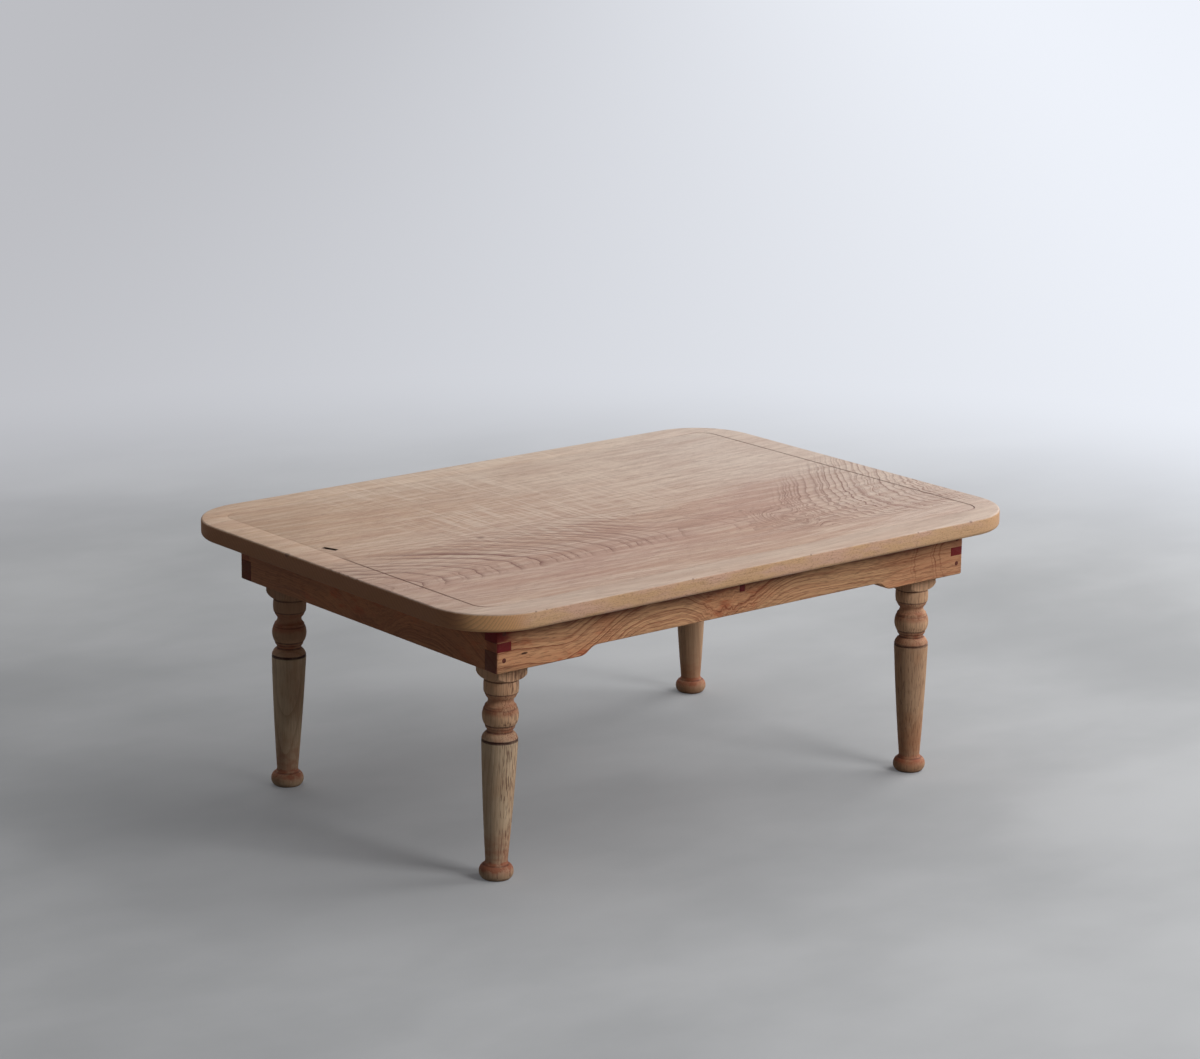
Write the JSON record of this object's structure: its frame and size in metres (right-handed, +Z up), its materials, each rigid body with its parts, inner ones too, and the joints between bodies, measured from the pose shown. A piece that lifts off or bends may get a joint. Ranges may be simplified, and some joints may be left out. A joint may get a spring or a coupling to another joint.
{
  "type": "folding low table",
  "caption": "Low rectangular wooden table with rounded corners, box-jointed aprons with an arched lower edge, and turned legs that fold in under the top.",
  "frame": {"origin": "on the floor under the middle of the top, legs standing open", "axes": "+X along the length, +Y to the back, +Z up"},
  "size_m": [0.842, 0.595, 0.336],
  "materials": {
    "top_wood": "bare, worn smooth, dry",
    "frame_wood": "bare, traces of red stain",
    "leg_wood": "turned, bare, stain left in the grooves",
    "peg_wood": "end grain, dark red stain",
    "inner_wood": "sawn and planed, bare",
    "steel": "dull, slightly rusted"
  },
  "bodies": {
    "frame": {"top": "top_wood", "front_apron": "frame_wood", "back_apron": "frame_wood", "left_apron": "frame_wood", "right_apron": "frame_wood", "corner_pegs": "peg_wood", "batten_pegs": "peg_wood", "centre_batten": "inner_wood", "apron_screws": "steel", "batten_screws": "steel", "lock_screw": "steel", "lock_washers": "steel"},
    "left_leg_pair": {"front_left_leg": "leg_wood", "back_left_leg": "leg_wood", "left_rail": "inner_wood", "left_leg_pegs": "peg_wood"},
    "right_leg_pair": {"front_right_leg": "leg_wood", "back_right_leg": "leg_wood", "right_rail": "inner_wood", "right_leg_pegs": "peg_wood"},
    "lock": {"lock_bar": "inner_wood"}
  },
  "joints": [
    {"name": "left_fold", "type": "hinge", "parent": "frame", "child": "left_leg_pair", "pos_m": [-0.31627, 0, 0.292], "axis": [0, -1, 0], "range_deg": [0, 91.45]},
    {"name": "right_fold", "type": "hinge", "parent": "frame", "child": "right_leg_pair", "pos_m": [0.31627, 0, 0.292], "axis": [0, 1, 0], "range_deg": [0, 91.45]},
    {"name": "lock_turn", "type": "hinge", "parent": "frame", "child": "lock", "pos_m": [0, 0, 0.2818], "axis": [0, 0, 1], "range_deg": [-25, 0]}
  ]
}
